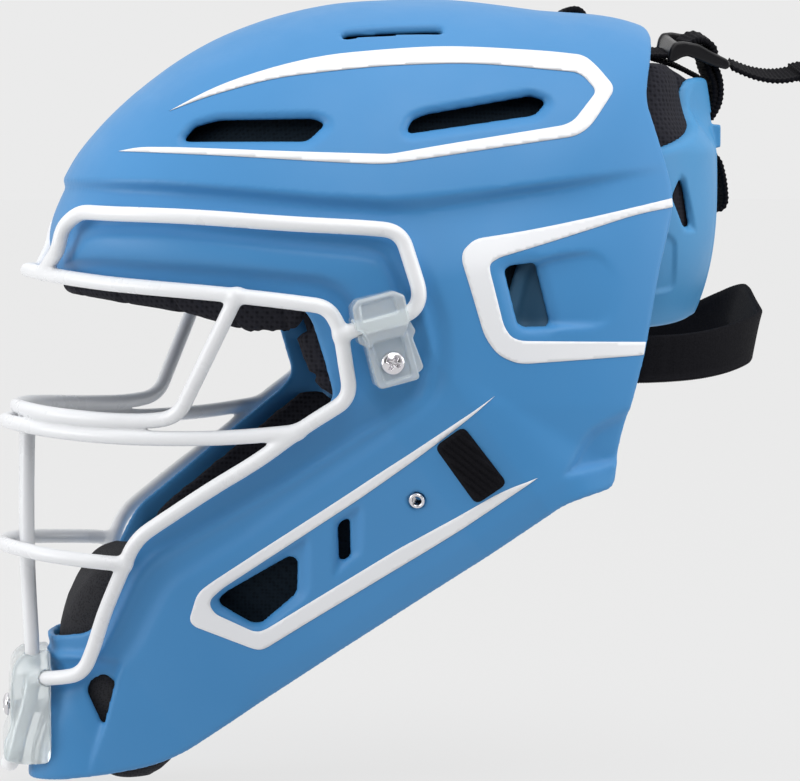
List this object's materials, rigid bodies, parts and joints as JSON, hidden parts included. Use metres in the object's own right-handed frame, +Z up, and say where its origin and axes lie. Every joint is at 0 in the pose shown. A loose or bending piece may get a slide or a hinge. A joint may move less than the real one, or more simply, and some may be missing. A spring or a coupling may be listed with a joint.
{
  "type": "catchers mask",
  "caption": "Hockey-style catcher's mask: moulded shell, wire face cage held by clear clips, foam liner, tilting back plate and elastic neck strap.",
  "frame": {"origin": "centre of the wearer's head, on the middle plane", "axes": "+X to the wearer's left, -Y out of the face, +Z up"},
  "size_m": [0.233, 0.34, 0.3205],
  "materials": {
    "shell": "soft matte paint over moulded shell",
    "plate": "soft matte paint",
    "wire": "white powder coat on steel wire",
    "clear_clip": "clear moulded, glossy",
    "screw": "polished",
    "nut": "plain",
    "foam": "brushed knit over foam",
    "webbing": "ribbed webbing",
    "buckle": "satin moulded"
  },
  "bodies": {
    "shell": {"front_shell": "shell", "cage_rim_wire": "wire", "cage_eye_bar": "wire", "cage_upper_bar": "wire", "cage_lower_bar": "wire", "cage_centre_bars": "wire", "cage_brow_wire_left": "wire", "cage_brow_wire_right": "wire", "chin_clip": "clear_clip", "side_clip_left": "clear_clip", "side_clip_right": "clear_clip", "chin_screw": "screw", "side_screw_left": "screw", "side_screw_right": "screw", "chin_t_nut": "nut", "side_t_nut_left": "nut", "side_t_nut_right": "nut", "eyelet_left": "nut", "eyelet_right": "nut", "forehead_pad": "foam", "crown_pad": "foam", "chin_pad": "foam", "temple_pad_left": "foam", "temple_pad_right": "foam", "jaw_pad_left": "foam", "jaw_pad_right": "foam", "side_patch_left": "webbing", "side_patch_right": "webbing", "neck_strap_anchor_left": "webbing", "neck_strap_anchor_right": "webbing", "crown_strap_anchor": "webbing", "crown_tab": "buckle"},
    "top_strap": {"top_strap": "webbing"},
    "ladder_lock": {"ladder_lock": "buckle", "strap_roll": "webbing"},
    "strap_tail": {"strap_tail": "webbing", "strap_tail_end": "buckle"},
    "back_plate": {"back_plate": "plate", "rear_pad": "foam", "strap_loop": "webbing", "inner_strap": "webbing", "plate_strap": "webbing"},
    "neck_strap": {"neck_strap": "webbing"}
  },
  "joints": [
    {"name": "top_strap_stretch", "type": "slide", "parent": "shell", "child": "top_strap", "axis": [0, 1, 0], "range_m": [0, 0.008], "stiffness_N_per_m": 400, "springref_m": -0.004},
    {"name": "ladder_lock_tilt", "type": "hinge", "parent": "top_strap", "child": "ladder_lock", "pos_m": [0, 0.115, 0.143], "axis": [1, 0, 0], "range_deg": [0, 12]},
    {"name": "strap_tail_swing", "type": "hinge", "parent": "ladder_lock", "child": "strap_tail", "pos_m": [0, 0.14, 0.1365], "axis": [1, 0, 0], "range_deg": [-45, 25]},
    {"name": "back_plate_tilt", "type": "hinge", "parent": "top_strap", "child": "back_plate", "pos_m": [0, 0.13, 0.137], "axis": [1, 0, 0], "range_deg": [0, 10], "stiffness_Nm_per_rad": 1, "springref_deg": -8.59},
    {"name": "neck_strap_swing", "type": "hinge", "parent": "shell", "child": "neck_strap", "pos_m": [0, 0.075, 0.017], "axis": [1, 0, 0], "range_deg": [-30, 0]}
  ]
}
